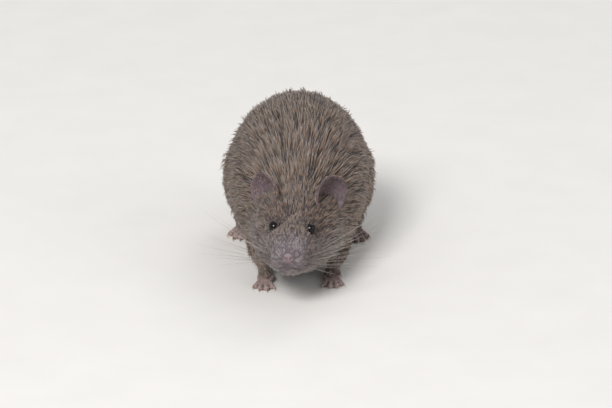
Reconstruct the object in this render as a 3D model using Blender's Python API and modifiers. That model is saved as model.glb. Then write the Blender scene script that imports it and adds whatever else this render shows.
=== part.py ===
"""A short-tailed field mouse at life size, crouched on all four feet, head raised and turned a little.

Every piece is one closed solid that reaches out to the tips of the coat, with a thin gap to its
neighbours. The nose points to -Y, the tail to +Y and the feet stand on z = 0.
"""

import math

import bmesh
import bpy
import numpy as np
from mathutils import Euler, Matrix, Vector

MM = 0.001  # all sizes below are millimetres
GAP = 0.3  # clearance between neighbouring solids
SMALL_GAP = 0.15  # clearance round a claw or the nose
SIDES = {"left": 1, "right": -1}  # the animal's own left and right

# The body from nose to rump, before the head is turned. Each row is one cross-section:
# distance behind the eyes, half width, height of its top, of its widest level, of its underside.
BODY_SECTIONS = (
    (-7.0, 4.6, 16.5, 11.7, 7.4),  # whisker pads
    (-4.5, 5.6, 18.1, 11.9, 6.3),  # bridge of the nose
    (-2.0, 6.3, 19.1, 12.2, 5.6),
    (0.5, 7.0, 19.9, 12.5, 5.1),  # brow
    (3.5, 9.2, 21.2, 12.8, 4.8),
    (7.0, 10.4, 22.5, 13.1, 4.6),  # cheeks
    (11.0, 11.1, 24.1, 13.7, 4.3),
    (15.0, 12.3, 26.4, 15.0, 4.0),  # nape
    (20.0, 14.3, 29.8, 16.4, 3.2),  # shoulders
    (27.0, 16.3, 34.0, 17.6, 2.2),
    (35.0, 17.6, 37.2, 18.0, 1.5),
    (44.0, 18.2, 38.2, 17.6, 1.2),  # top of the back
    (54.0, 18.0, 37.0, 16.5, 1.2),
    (70.0, 16.5, 33.5, 15.0, 1.8),
)
SECTION_POINTS = 24
RINGS = {"ends": 8, "face": 11, "neck": 4, "flank": 9}  # how many cross-sections shape each stretch
NOSE_CAP = 0.997  # share of the rounding at which the muzzle closes
RUMP_CAPS = (0.99, 0.998)
TOP_POWER = 2.0  # an ellipse above the widest level
UNDER_POWER = 2.3  # a little squarer below it
NOSE_TIP = -9.7
NOSE_ROUND = -6.0  # where the muzzle starts to round off
NOSE_HEIGHT = 12.2
NOSE_POWER = 2.8
RUMP_END = 70.0
RUMP_ROUND = 46.0  # where the back starts to round off to the rump
RUMP_HEIGHT = 13.5
RUMP_POWER = 2.0
NECK_FRONT = 14.0  # cut between head and neck
NECK_BACK = 19.0  # cut between neck and trunk

# The head turns about the base of the neck, fading out over the neck.
HEAD_PIVOT = Vector((0.0, 17.0, 15.0))
HEAD_YAW = 5.0
HEAD_PITCH = 5.0
HEAD_ROLL = 1.7
TURN_FULL = 11.0  # ahead of this the whole turn applies
TURN_NONE = NECK_BACK  # behind this none of it does

# How many faces a rounded solid has round it and from pole to pole.
FACETS = {"joint": (16, 10), "nose": (14, 8), "socket": (12, 8), "palm": (16, 8), "ear": (18, 10)}
CURVE_STEPS = 2  # how many points a rod gets for each one given
ROD_END = {"reach": 0.6, "radius": 0.45}  # its rounded ends, as shares of its radius there
WELD = 0.01  # points closer than this become one

EYE = {"side": 3.9, "back": 0.0, "height": 17.0, "radius": 1.45}
NOSE_PAD = {"back": -9.4, "height": 12.3, "radii": (1.3, 0.9, 0.95)}
EAR = {
    "centre": (8.9, 10.4, 22.4),
    "radii": (4.4, 3.0, 5.2),
    "thickness": 0.6,
    "out": 48.0,  # degrees the opening faces outwards
    "back": 14.0,  # degrees the top leans back
    "splay": 10.0,  # degrees the top leans outwards
    "open_from": -0.02,  # the share of its depth ahead of which the shell is open
}

SHOULDER = {"centre": (10.6, 26.6, 14.2), "radii": (5.2, 7.0, 9.0), "tilt": -18.0}
THIGH = {"centre": (12.0, 49.0, 14.2), "radii": (7.6, 13.4, 12.0), "tilt": 12.0}
FOREARM = {"radii": (3.3, 2.6, 1.85), "path": ((11.2, 24.6, 8.6), (9.9, 20.6, 5.6), (8.4, 17.4, 3.0))}
SHANK = {"radii": (2.9, 2.5, 2.0), "path": ((13.8, 41.6, 6.4), (13.8, 48.4, 5.1), (12.9, 54.6, 3.6))}

FOREPAW = {
    "palm": (8.0, 15.0, 1.15),
    "palm_radii": (1.95, 3.0, 1.35),
    "toe_length": 4.6,
    "toe_radius": 0.55,
    "toe_spread": (-26.0, -8.0, 9.0, 27.0),
    "toe_share": (0.82, 1.0, 0.97, 0.8),
    "claw_length": 1.3,
    "heading": 4.0,
    "advance": {"left": 0.0, "right": 1.6},
}
HINDPAW = {
    "palm": (13.0, 50.4, 1.25),
    "palm_radii": (2.35, 6.0, 1.55),
    "toe_length": 7.6,
    "toe_radius": 0.64,
    "toe_spread": (-25.0, -10.0, 0.0, 10.0, 24.0),
    "toe_share": (0.76, 0.97, 1.0, 0.96, 0.72),
    "claw_length": 1.5,
    "heading": 8.0,
    "advance": {"left": 0.0, "right": -1.8},
}
TOE_ROOT = {"reach": 0.55, "spread": 0.55}  # where a toe leaves the palm, as shares
# Each joint of a toe: share of its length, height above the floor and more of it in toe radii, thickness.
TOE_JOINTS = ((0.0, 1.15, 0.0, 1.3), (0.35, 0.45, 1.5, 1.1), (0.72, 0.0, 1.35, 0.95), (0.95, 0.0, 0.9, 1.0))
CLAW_RADIUS = 0.27
CLAW_TAPER = ((0.0, 1.0), (0.5, 0.8), (1.0, 0.25))  # share of its length and of its radius
CLAW_LIFT = 0.18  # how far it leaves the toe above the toe's middle
CLAW_START = 0.62  # how far ahead of the toe's last joint, in toe radii

TAIL_LENGTH = 37.0
TAIL_ROOT = (0.0, 65.5, 7.4)
TAIL_RADII = (1.75, 0.75)  # at the root and near the tip, with the hair
TAIL_TURN = 62.0  # degrees it curves to one side by its end
TAIL_LAND = 0.5  # share of its length over which it comes down to the floor
TAIL_FLAT = 0.12  # how far it settles into the floor before its underside is cut flat
TAIL_POINTS = 22
TAIL_CUTS = (0.36, 0.68)
TAIL_END = 0.6  # how much thinner the very end is
SOLE_BOX = (200.0, 300.0, 20.0)

COLOURS = {
    "coat": (0.105, 0.070, 0.047, 1.0),
    "skin": (0.36, 0.22, 0.19, 1.0),
    "eye": (0.006, 0.005, 0.005, 1.0),
    "claw": (0.42, 0.33, 0.26, 1.0),
}
ROUGHNESS = {"coat": 0.85, "skin": 0.6, "eye": 0.06, "claw": 0.4}


def clear_scene():
    for existing in list(bpy.data.objects):
        bpy.data.objects.remove(existing, do_unlink=True)


def new_collection(name):
    collection = bpy.data.collections.new(name)
    bpy.context.scene.collection.children.link(collection)
    return collection


def finish_material(name):
    """One Principled material for each kind of surface."""
    material = bpy.data.materials.get(name) or bpy.data.materials.new(name)
    material.use_nodes = True
    shader = material.node_tree.nodes["Principled BSDF"]
    shader.inputs["Base Color"].default_value = COLOURS[name]
    shader.inputs["Roughness"].default_value = ROUGHNESS[name]
    shader.inputs["Metallic"].default_value = 0.0
    return material


def add_object(name, mesh, collection):
    piece = bpy.data.objects.new(name, mesh)
    collection.objects.link(piece)
    return piece


def as_cutter(piece):
    piece.hide_render = True
    piece.display_type = "WIRE"
    return piece


# --- Shapes -------------------------------------------------------------------------------------


def section_at(y):
    """Half width, top, widest level and underside of the body, from a smooth curve through the rows."""
    rows = np.array(BODY_SECTIONS)
    places, values = rows[:, 0], rows[:, 1:]
    slopes = np.gradient(values, places, axis=0)
    y = float(np.clip(y, places[0], places[-1]))
    i = int(np.clip(np.searchsorted(places, y) - 1, 0, len(places) - 2))
    step = places[i + 1] - places[i]
    t = (y - places[i]) / step
    start = values[i] * (2 * t**3 - 3 * t**2 + 1) + step * slopes[i] * (t**3 - 2 * t**2 + t)
    end = values[i + 1] * (3 * t**2 - 2 * t**3) + step * slopes[i + 1] * (t**3 - t**2)
    return start + end


def end_rounding(y):
    """How much a section shrinks near the nose or the rump, and the height it shrinks towards."""
    if y < NOSE_ROUND:
        share = (NOSE_ROUND - y) / (NOSE_ROUND - NOSE_TIP)
        return max(0.0, 1 - share**NOSE_POWER) ** (1 / NOSE_POWER), NOSE_HEIGHT
    if y > RUMP_ROUND:
        share = (y - RUMP_ROUND) / (RUMP_END - RUMP_ROUND)
        return max(0.0, 1 - share**RUMP_POWER) ** (1 / RUMP_POWER), RUMP_HEIGHT
    return 1.0, NOSE_HEIGHT


def power(value, exponent):
    return math.copysign(abs(value) ** exponent, value)


def section_ring(y, grow):
    """The points of one cross-section, grown outwards by a clearance."""
    half_width, top, widest, underside = section_at(y)
    shrink, towards = end_rounding(y)
    ring = []
    for i in range(SECTION_POINTS):
        angle = 2 * math.pi * i / SECTION_POINTS
        above = math.sin(angle) >= 0
        exponent = 2 / (TOP_POWER if above else UNDER_POWER)
        reach = (top - widest if above else widest - underside) + grow
        x = (half_width + grow) * power(math.cos(angle), exponent)
        z = widest + reach * power(math.sin(angle), exponent)
        ring.append(Vector((x * shrink, y, towards + (z - towards) * shrink)))
    return ring


def body_places():
    """Where the cross-sections of head, neck and trunk lie, closer together at the rounded ends."""
    quarter = np.linspace(0.0, math.pi / 2, RINGS["ends"])[1:-1]
    muzzle = NOSE_ROUND + (NOSE_TIP - NOSE_ROUND) * np.array([NOSE_CAP, *np.cos(quarter)])
    face = np.linspace(NOSE_ROUND, NECK_FRONT - GAP / 2, RINGS["face"])
    neck = np.linspace(NECK_FRONT + GAP / 2, NECK_BACK - GAP / 2, RINGS["neck"])
    flank = np.linspace(NECK_BACK + GAP / 2, RUMP_ROUND, RINGS["flank"])
    rump = RUMP_ROUND + (RUMP_END - RUMP_ROUND) * np.array([*np.sin(quarter), *RUMP_CAPS])
    return [*muzzle, *face], list(neck), [*flank, *rump]


def body_loft(name, places, collection, grow=0.0):
    """A closed solid through the body's cross-sections at the given places."""
    bm = bmesh.new()
    rings = [[bm.verts.new(p * MM) for p in section_ring(y, grow)] for y in places]
    for ahead, behind in zip(rings, rings[1:]):
        for i in range(SECTION_POINTS):
            j = (i + 1) % SECTION_POINTS
            bm.faces.new((ahead[i], ahead[j], behind[j], behind[i]))
    bm.faces.new(list(reversed(rings[0])))
    bm.faces.new(rings[-1])
    bmesh.ops.recalc_face_normals(bm, faces=bm.faces)
    mesh = bpy.data.meshes.new(name)
    bm.to_mesh(mesh)
    bm.free()
    return add_object(name, mesh, collection)


def ellipsoid(name, centre, radii, collection, turn=(0.0, 0.0, 0.0), grow=0.0, facets=FACETS["joint"]):
    """A stretched sphere, turned by degrees about X, Y and Z."""
    bm = bmesh.new()
    bmesh.ops.create_uvsphere(bm, u_segments=facets[0], v_segments=facets[1], radius=1.0)
    scale = Matrix.Diagonal([(r + grow) * MM for r in radii] + [1.0])
    bmesh.ops.transform(bm, matrix=scale, verts=bm.verts)
    mesh = bpy.data.meshes.new(name)
    bm.to_mesh(mesh)
    bm.free()
    piece = add_object(name, mesh, collection)
    piece.location = Vector(centre) * MM
    piece.rotation_euler = [math.radians(a) for a in turn]
    return piece


def tube(name, points, radii, collection, grow=0.0, resolution=2, smooth=True):
    """A rod that tapers along its points, with closed ends, as a mesh."""
    curve = bpy.data.curves.new(name, "CURVE")
    curve.dimensions = "3D"
    curve.bevel_depth = MM
    curve.bevel_resolution = resolution
    curve.use_fill_caps = True
    if smooth:
        points, radii = smoothed(points, radii)
    spline = curve.splines.new("POLY")
    spline.points.add(len(points) - 1)
    for place, point, radius in zip(spline.points, points, radii):
        place.co = (*(Vector(point) * MM), 1.0)
        place.radius = radius + grow
    rod = bpy.data.objects.new(name + "_curve", curve)
    bpy.context.scene.collection.objects.link(rod)
    bpy.context.view_layer.update()
    evaluated = rod.evaluated_get(bpy.context.evaluated_depsgraph_get())
    mesh = bpy.data.meshes.new_from_object(evaluated)
    bpy.data.objects.remove(rod, do_unlink=True)
    bm = bmesh.new()
    bm.from_mesh(mesh)
    bmesh.ops.remove_doubles(bm, verts=bm.verts, dist=WELD * MM)
    bmesh.ops.recalc_face_normals(bm, faces=bm.faces)
    bm.to_mesh(mesh)
    bm.free()
    mesh.name = name
    return add_object(name, mesh, collection)


def smoothed(points, radii):
    """More points on a smooth curve through the given ones, with rounded ends."""
    rows = np.array([(*p, r) for p, r in zip(points, radii)], float)
    knots = np.arange(len(rows))
    slopes = np.gradient(rows, axis=0) if len(rows) > 2 else np.tile(rows[1] - rows[0], (2, 1))
    dense = []
    for s in np.linspace(0, len(rows) - 1, CURVE_STEPS * (len(rows) - 1) + 1):
        i = min(int(s), len(knots) - 2)
        t = s - i
        start = rows[i] * (2 * t**3 - 3 * t**2 + 1) + slopes[i] * (t**3 - 2 * t**2 + t)
        end = rows[i + 1] * (3 * t**2 - 2 * t**3) + slopes[i + 1] * (t**3 - t**2)
        dense.append(start + end)
    dense = np.array(dense)
    ends = []
    for near, inner in ((dense[0], dense[1]), (dense[-1], dense[-2])):
        outward = near[:3] - inner[:3]
        outward = outward / np.linalg.norm(outward)
        ends.append([*(near[:3] + outward * near[3] * ROD_END["reach"]), near[3] * ROD_END["radius"]])
    dense = np.vstack([ends[0], dense, ends[1]])
    return dense[:, :3].tolist(), dense[:, 3].tolist()


def boolean(target, operation, tool):
    modifier = target.modifiers.new(operation.lower(), "BOOLEAN")
    modifier.operation = operation
    modifier.object = tool
    modifier.solver = "EXACT"


def apply_modifiers(piece):
    """Makes the evaluated shape the piece's own mesh."""
    bpy.context.view_layer.update()
    evaluated = piece.evaluated_get(bpy.context.evaluated_depsgraph_get())
    mesh = bpy.data.meshes.new_from_object(evaluated)
    mesh.name = piece.name
    piece.modifiers.clear()
    piece.data = mesh


def cut(target, tools):
    for tool in tools:
        boolean(target, "DIFFERENCE", tool)
    apply_modifiers(target)


# --- The turn of the head ----------------------------------------------------------------------


def head_turn(share):
    """Rotation of the head, or of the share of it that applies partway along the neck."""
    angles = (math.radians(-HEAD_PITCH * share), math.radians(HEAD_ROLL * share))
    pitched = Matrix.Rotation(angles[0], 3, "X")
    rolled = Matrix.Rotation(angles[1], 3, "Y")
    yawed = Matrix.Rotation(math.radians(-HEAD_YAW * share), 3, "Z")
    return yawed @ pitched @ rolled


def turned(point):
    """Where a point of the straight body goes when the head is turned, in millimetres."""
    share = min(1.0, max(0.0, (TURN_NONE - point.y) / (TURN_NONE - TURN_FULL)))
    share = share * share * (3 - 2 * share)
    return HEAD_PIVOT + head_turn(share) @ (point - HEAD_PIVOT)


def turn_piece(piece):
    """Moves a finished piece's points with the head, leaving its object at the origin."""
    piece.data.transform(piece.matrix_world)
    piece.matrix_world = Matrix.Identity(4)
    for vertex in piece.data.vertices:
        vertex.co = turned(vertex.co / MM) * MM


# --- The animal's parts -------------------------------------------------------------------------


def make_trunk_and_neck(parts):
    _, neck_places, trunk_places = body_places()
    return body_loft("trunk", trunk_places, parts), body_loft("neck", neck_places, parts)


def make_head(parts, cutters):
    head = body_loft("head", body_places()[0], parts)
    sockets = []
    for side, sign in SIDES.items():
        centre = (EYE["side"] * sign, EYE["back"], EYE["height"])
        radii = [EYE["radius"]] * 3
        socket = ellipsoid("socket_" + side, centre, radii, cutters, grow=SMALL_GAP, facets=FACETS["socket"])
        sockets.append(as_cutter(socket))
    centre = (0.0, NOSE_PAD["back"], NOSE_PAD["height"])
    radii = NOSE_PAD["radii"]
    pad = ellipsoid("nose_socket", centre, radii, cutters, grow=SMALL_GAP, facets=FACETS["socket"])
    cut(head, [*sockets, as_cutter(pad)])
    return head


def make_eye(side, sign, parts):
    centre = (EYE["side"] * sign, EYE["back"], EYE["height"])
    eye = ellipsoid("eye_" + side, turned(Vector(centre)), [EYE["radius"]] * 3, parts)
    eye.data.shade_smooth()
    return eye


def make_nose(parts):
    centre = Vector((0.0, NOSE_PAD["back"], NOSE_PAD["height"]))
    nose = ellipsoid("nose", turned(centre), NOSE_PAD["radii"], parts, facets=FACETS["nose"])
    nose.rotation_euler = head_turn(1.0).to_euler()
    nose.data.shade_smooth()
    return nose


def make_ear(side, sign, parts, body_shape):
    """Half of an ellipsoid's shell, open to the front and outwards, trimmed where it meets the head."""
    bm = bmesh.new()
    around, down = FACETS["ear"]
    bmesh.ops.create_uvsphere(bm, u_segments=around, v_segments=down, radius=1.0)
    front = [v for v in bm.verts if v.co.y < EAR["open_from"]]
    bmesh.ops.delete(bm, geom=front, context="VERTS")
    bmesh.ops.transform(bm, matrix=Matrix.Diagonal([r * MM for r in EAR["radii"]] + [1.0]), verts=bm.verts)
    mesh = bpy.data.meshes.new("ear_" + side)
    bm.to_mesh(mesh)
    bm.free()
    ear = add_object("ear_" + side, mesh, parts)
    x, y, z = EAR["centre"]
    ear.location = Vector((x * sign, y, z)) * MM
    angles = (-EAR["back"], EAR["splay"] * sign, EAR["out"] * sign)
    ear.rotation_euler = Euler([math.radians(a) for a in angles], "XYZ")
    shell = ear.modifiers.new("shell", "SOLIDIFY")
    shell.thickness = EAR["thickness"] * MM
    shell.offset = -1.0
    cut(ear, [body_shape])
    return ear


def leg_joint(name, form, sign, collection, grow=0.0):
    """The rounded mass of a shoulder or a thigh."""
    x, y, z = form["centre"]
    return ellipsoid(name, (x * sign, y, z), form["radii"], collection, (form["tilt"], 0.0, 0.0), grow)


def leg_rod(name, form, sign, collection, grow=0.0):
    """A forearm or a shank, from the elbow or knee down to the foot."""
    points = [(x * sign, y, z) for x, y, z in form["path"]]
    return tube(name, points, form["radii"], collection, grow)


def paw_direction(form, sign, spread):
    """Unit vector along a toe, which points ahead and fans outwards."""
    angle = math.radians(form["heading"] + spread)
    return Vector((math.sin(angle) * sign, -math.cos(angle), 0.0))


def toe_root(form, side, sign, spread):
    x, y, z = form["palm"]
    heel = Vector((x * sign, y - form["advance"][side], 0.0))
    reach = form["palm_radii"][1] * TOE_ROOT["reach"]
    return heel + paw_direction(form, sign, spread * TOE_ROOT["spread"]) * reach


def palm(name, form, side, sign, collection, grow=0.0):
    x, y, z = form["palm"]
    centre = (x * sign, y - form["advance"][side], z)
    turn = (0.0, 0.0, form["heading"] * sign)
    return ellipsoid(name, centre, form["palm_radii"], collection, turn, grow, FACETS["palm"])


def make_paw(name, form, side, sign, parts, cutters):
    """Palm and toes joined into one piece, with its claws as pieces of their own."""
    paw = palm(name, form, side, sign, parts)
    claws = []
    radius = form["toe_radius"]
    for number, (spread, share) in enumerate(zip(form["toe_spread"], form["toe_share"]), 1):
        along = paw_direction(form, sign, spread)
        root = toe_root(form, side, sign, spread)
        length = form["toe_length"] * share
        points, radii = [], []
        for step, lift, height, thickness in TOE_JOINTS:
            points.append(root + along * length * step + Vector((0, 0, lift + height * radius)))
            radii.append(thickness * radius)
        toe = as_cutter(tube(f"{name}_toe_{number}", points, radii, cutters, resolution=1))
        boolean(paw, "UNION", toe)
        claws.append(make_claw(f"{name}_claw_{number}", form, points[-1], along, radius, parts))
    box = as_cutter(floor_box(name + "_floor", cutters))
    boolean(paw, "DIFFERENCE", box)
    apply_modifiers(paw)
    return paw, claws


def make_claw(name, form, toe_end, along, toe_radius, parts):
    """A short curved spike just ahead of the toe, its tip a little above the floor."""
    start = toe_end + along * (toe_radius * CLAW_START + SMALL_GAP) + Vector((0, 0, CLAW_LIFT))
    length = form["claw_length"]
    drop = start.z - CLAW_RADIUS
    points = [start + along * length * s - Vector((0, 0, drop * s * s)) for s, _ in CLAW_TAPER]
    radii = [CLAW_RADIUS * share for _, share in CLAW_TAPER]
    return tube(name, points, radii, parts, resolution=1, smooth=False)


def floor_box(name, cutters):
    """Everything below the floor, which leaves small flats under what it cuts."""
    bm = bmesh.new()
    bmesh.ops.create_cube(bm, size=1.0)
    bmesh.ops.transform(bm, matrix=Matrix.Diagonal([s * MM for s in SOLE_BOX] + [1.0]), verts=bm.verts)
    bmesh.ops.translate(bm, vec=(0.0, 0.0, -SOLE_BOX[2] / 2 * MM), verts=bm.verts)
    mesh = bpy.data.meshes.new(name)
    bm.to_mesh(mesh)
    bm.free()
    return add_object(name, mesh, cutters)


def tail_course():
    """Points and radii along the tail: down from the rump, then over the floor in a curve."""
    step = TAIL_LENGTH / (TAIL_POINTS - 1)
    place = Vector((TAIL_ROOT[0], TAIL_ROOT[1], 0.0))
    points, radii = [], []
    for i in range(TAIL_POINTS):
        share = i / (TAIL_POINTS - 1)
        radius = TAIL_RADII[0] + (TAIL_RADII[1] - TAIL_RADII[0]) * share
        landing = min(1.0, share / TAIL_LAND)
        landing = landing * landing * (3 - 2 * landing)
        floor_height = radius - TAIL_FLAT
        height = TAIL_ROOT[2] + (floor_height - TAIL_ROOT[2]) * landing
        points.append(Vector((place.x, place.y, height)))
        radii.append(radius)
        heading = math.radians(TAIL_TURN * share * share)
        place = place + Vector((math.sin(heading), math.cos(heading), 0.0)) * step
    radii[-1] *= TAIL_END
    return points, radii


def make_tail(parts, cutters, body_shape):
    """The tail in three lengths, flat underneath where it lies on the floor."""
    points, radii = tail_course()
    cuts = [0, *(round(c * (TAIL_POINTS - 1)) for c in TAIL_CUTS), TAIL_POINTS - 1]
    pieces = []
    for number, name in enumerate(("tail_root", "tail_middle", "tail_tip")):
        first, last = cuts[number], cuts[number + 1] + 1
        run = [p.copy() for p in points[first:last]]
        if number > 0:
            run[0] = run[0] + (run[1] - run[0]).normalized() * GAP
        length = tube(name, run, radii[first:last], parts, resolution=3, smooth=False)
        tools = [as_cutter(floor_box(name + "_floor", cutters))]
        if number == 0:
            tools.append(body_shape)
        cut(length, tools)
        pieces.append(length)
    return pieces


def make_legs(parts, cutters, trunk, neck):
    """Shoulders, thighs, forearms, shanks and paws of both sides, each fitted to its neighbours."""
    pieces = {}
    pockets = []
    forearm_pockets = []
    for side, sign in SIDES.items():
        pairs = (("upper_foreleg_", SHOULDER, leg_joint), ("thigh_", THIGH, leg_joint))
        pairs += (("forearm_", FOREARM, leg_rod), ("shank_", SHANK, leg_rod))
        grown = {}
        for name, form, maker in pairs:
            pieces[name + side] = maker(name + side, form, sign, parts)
            grown[name] = as_cutter(maker(name + side + "_pocket", form, sign, cutters, GAP))
        pockets += grown.values()
        forearm_pockets.append(grown["forearm_"])
        cut(pieces["upper_foreleg_" + side], [grown["forearm_"]])
        sole_pocket = as_cutter(palm("hindpaw_pocket_" + side, HINDPAW, side, sign, cutters, GAP))
        pockets.append(sole_pocket)
        cut(pieces["thigh_" + side], [grown["shank_"], sole_pocket])
        for paw_name, form, above in (
            ("forepaw_", FOREPAW, "forearm_"),
            ("hindpaw_", HINDPAW, "shank_"),
        ):
            paw, claws = make_paw(paw_name + side, form, side, sign, parts, cutters)
            cut(paw, [grown[above]])
            pieces[paw_name + side] = paw
            for claw in claws:
                pieces[claw.name] = claw
    cut(trunk, pockets)
    cut(neck, forearm_pockets)
    return pieces


def centre_on_floor(name, pieces):
    """Parents the pieces to an empty that puts the middle of their box over the origin."""
    bpy.context.view_layer.update()
    points = np.array([p.matrix_world @ v.co for p in pieces for v in p.data.vertices])
    low, high = points.min(axis=0), points.max(axis=0)
    root = bpy.data.objects.new(name, None)
    bpy.context.scene.collection.objects.link(root)
    for piece in pieces:
        piece.parent = root
    root.location = (-(low[0] + high[0]) / 2, -(low[1] + high[1]) / 2, -low[2])


def give_materials(pieces):
    for name, piece in pieces.items():
        kind = "coat"
        if name.startswith("eye"):
            kind = "eye"
        elif "claw" in name:
            kind = "claw"
        elif name.startswith(("nose", "ear", "forepaw", "hindpaw", "tail")):
            kind = "skin"
        piece.data.materials.clear()
        piece.data.materials.append(finish_material(kind))


def build():
    clear_scene()
    parts = new_collection("field_mouse")
    cutters = new_collection("cutters")
    trunk, neck = make_trunk_and_neck(parts)
    head = make_head(parts, cutters)
    body_shape = as_cutter(body_loft("body_outline", sum(body_places(), []), cutters, grow=GAP))
    pieces = {"trunk": trunk, "neck": neck, "head": head, "nose": make_nose(parts)}
    for side, sign in SIDES.items():
        pieces["eye_" + side] = make_eye(side, sign, parts)
        pieces["ear_" + side] = make_ear(side, sign, parts, body_shape)
    bpy.context.view_layer.update()
    for name in ("head", "neck", "ear_left", "ear_right"):
        turn_piece(pieces[name])
    pieces.update(make_legs(parts, cutters, trunk, neck))
    for length in make_tail(parts, cutters, body_shape):
        pieces[length.name] = length
    give_materials(pieces)
    centre_on_floor("field_mouse_root", list(pieces.values()))


build()
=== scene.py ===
from functools import partial
from math import ceil, cos, pi, radians, sin, sqrt

import bmesh
import bpy
import numpy as np
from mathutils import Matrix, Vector
from mathutils.bvhtree import BVHTree
from mathutils.kdtree import KDTree


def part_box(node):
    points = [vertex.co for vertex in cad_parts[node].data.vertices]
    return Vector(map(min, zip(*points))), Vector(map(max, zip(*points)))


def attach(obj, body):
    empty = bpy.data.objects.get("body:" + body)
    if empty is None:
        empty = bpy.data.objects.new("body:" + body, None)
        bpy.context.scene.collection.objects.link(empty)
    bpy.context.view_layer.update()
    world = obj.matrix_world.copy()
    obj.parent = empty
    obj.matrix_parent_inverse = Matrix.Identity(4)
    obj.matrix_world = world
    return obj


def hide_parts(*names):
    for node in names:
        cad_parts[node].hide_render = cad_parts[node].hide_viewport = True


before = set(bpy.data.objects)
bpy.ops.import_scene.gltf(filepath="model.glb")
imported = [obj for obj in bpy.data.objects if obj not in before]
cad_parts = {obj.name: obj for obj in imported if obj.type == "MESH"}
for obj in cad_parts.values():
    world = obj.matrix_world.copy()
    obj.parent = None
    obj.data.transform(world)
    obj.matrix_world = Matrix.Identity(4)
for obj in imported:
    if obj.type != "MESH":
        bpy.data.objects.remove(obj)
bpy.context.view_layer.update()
mm = 0.001
rng = np.random.default_rng(7)
sides = {"left": 1, "right": -1}  # the animal's own left is at +X


def ramp(value, low, high):
    # rises smoothly from 0 at low to 1 at high, or falls if high is the smaller
    t = np.clip((value - low) / (high - low), 0.0, 1.0)
    return t * t * (3 - 2 * t)


def bump(value, centre, width):
    return np.exp(-(((value - centre) / width) ** 2))


def mixed(first, second, share):
    return first + (second - first) * share


def unit(vectors):
    length = np.linalg.norm(vectors, axis=-1, keepdims=True)
    return vectors / np.maximum(length, 1e-12)


def dot(a, b):
    return np.sum(a * b, axis=-1)


def distance(points, place):
    return np.linalg.norm(points - place, axis=1)


def flattened(vectors, normals):
    # the part of each vector that lies in the surface
    return unit(vectors - normals * dot(vectors, normals)[:, None])


def boxCentre(node):
    low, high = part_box(node)
    return np.array((Vector(low) + Vector(high)) / 2)


def nodesNamed(*starts):
    return [n for n in sorted(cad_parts) if n.startswith(starts)]


headForm = {
    "eyeRise": 0.42 * mm,  # the ball stands this much further out than its solid
    "gaze": (0.74, 0.36, 0.50),  # sideways, forward and up
    "noseDrop": 26.6,  # degrees, from the eyes, between the head's own axis and the nose
}

eyes = {side: boxCentre("eye_" + side) for side in sides}
eyeMiddle = (eyes["left"] + eyes["right"]) / 2
eyeRadius = float(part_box("eye_left")[1][2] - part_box("eye_left")[0][2]) / 2
nose = boxCentre("nose")
noseDrop = radians(headForm["noseDrop"])
headSide = unit(eyes["left"] - eyes["right"])
noseLine = unit(nose - eyeMiddle)
acrossFace = unit(np.cross(noseLine, headSide))
headForward = noseLine * cos(noseDrop) + acrossFace * sin(noseDrop)
headUp = acrossFace * cos(noseDrop) - noseLine * sin(noseDrop)


def lookingOut(side):
    aside, ahead, up = headForm["gaze"]
    return unit(headSide * aside * sides[side] + headForward * ahead + headUp * up)


for eyeSide in sides:
    eyes[eyeSide] = eyes[eyeSide] + lookingOut(eyeSide) * headForm["eyeRise"]


def fromEyes(points):
    # how far each point is from the nearer eye
    return np.min([distance(points, centre) for centre in eyes.values()], axis=0)


def inHead(points, origin):
    # sideways, forward and up in the head's own directions
    away = points - origin
    return dot(away, headSide), dot(away, headForward), dot(away, headUp)


def newObject(name, data, material=None):
    made = bpy.data.objects.new(name, data)
    bpy.context.scene.collection.objects.link(made)
    if material:
        data.materials.append(material)
    return made


def addPiece(name, mesh, material, slot, *replaced):
    # nothing moves, so every piece rides on the root
    piece = newObject(name, mesh, material)
    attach(piece, "root")
    if replaced:
        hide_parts(*replaced)


def turnTo(made, place, direction):
    # at a place, with its own -Z along a direction
    made.location = place
    made.rotation_mode = "QUATERNION"
    made.rotation_quaternion = direction.to_track_quat("-Z", "Y")


view = {
    "distance": 0.8,
    "lens": 200.0,
    "elevation": 20.0,  # degrees above the floor
    "aimRight": 3.2 * mm,  # the face sits left of and below the middle of the frame
    "aimUp": 5.8 * mm,
}


def makeCamera():
    print("camera")
    elevation = radians(view["elevation"])
    back = Vector((0, -cos(elevation), sin(elevation)))
    up = Vector((0, sin(elevation), cos(elevation)))
    aim = Vector(eyeMiddle) + Vector((view["aimRight"], 0, 0)) + up * view["aimUp"]
    data = bpy.data.cameras.new("camera")
    data.lens = view["lens"]
    data.clip_start = 0.01
    camera = newObject("camera", data)
    turnTo(camera, aim + back * view["distance"], -back)
    bpy.context.scene.camera = camera


def meshFrom(bm, name):
    mesh = bpy.data.meshes.new(name)
    bm.to_mesh(mesh)
    bm.free()
    return mesh


def valuesOf(items, name, width, kind=np.float32):
    values = np.empty(len(items) * width, kind)
    items.foreach_get(name, values)
    return values.reshape(-1, width)


def pointsOf(mesh):
    return valuesOf(mesh.vertices, "co", 3).astype(float)


def normalsOf(mesh):
    return valuesOf(mesh.vertex_normals, "vector", 3).astype(float)


def edgesOf(mesh):
    return valuesOf(mesh.edges, "vertices", 2, np.int32)


def trianglesOf(mesh):
    mesh.calc_loop_triangles()
    return valuesOf(mesh.loop_triangles, "vertices", 3, np.int32)


def surfaceOf(mesh):
    return pointsOf(mesh), normalsOf(mesh), edgesOf(mesh)


def setPoints(mesh, points):
    mesh.vertices.foreach_set("co", points.astype(np.float32).ravel())
    mesh.update()


def setValues(mesh, values):
    for name, value in values.items():
        data = mesh.attributes.new(name, "FLOAT", "POINT").data
        data.foreach_set("value", np.asarray(value, np.float32))


def treeOf(points):
    tree = KDTree(len(points))
    for i, p in enumerate(points):
        tree.insert(Vector(p), i)
    tree.balance()
    return tree


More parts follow.
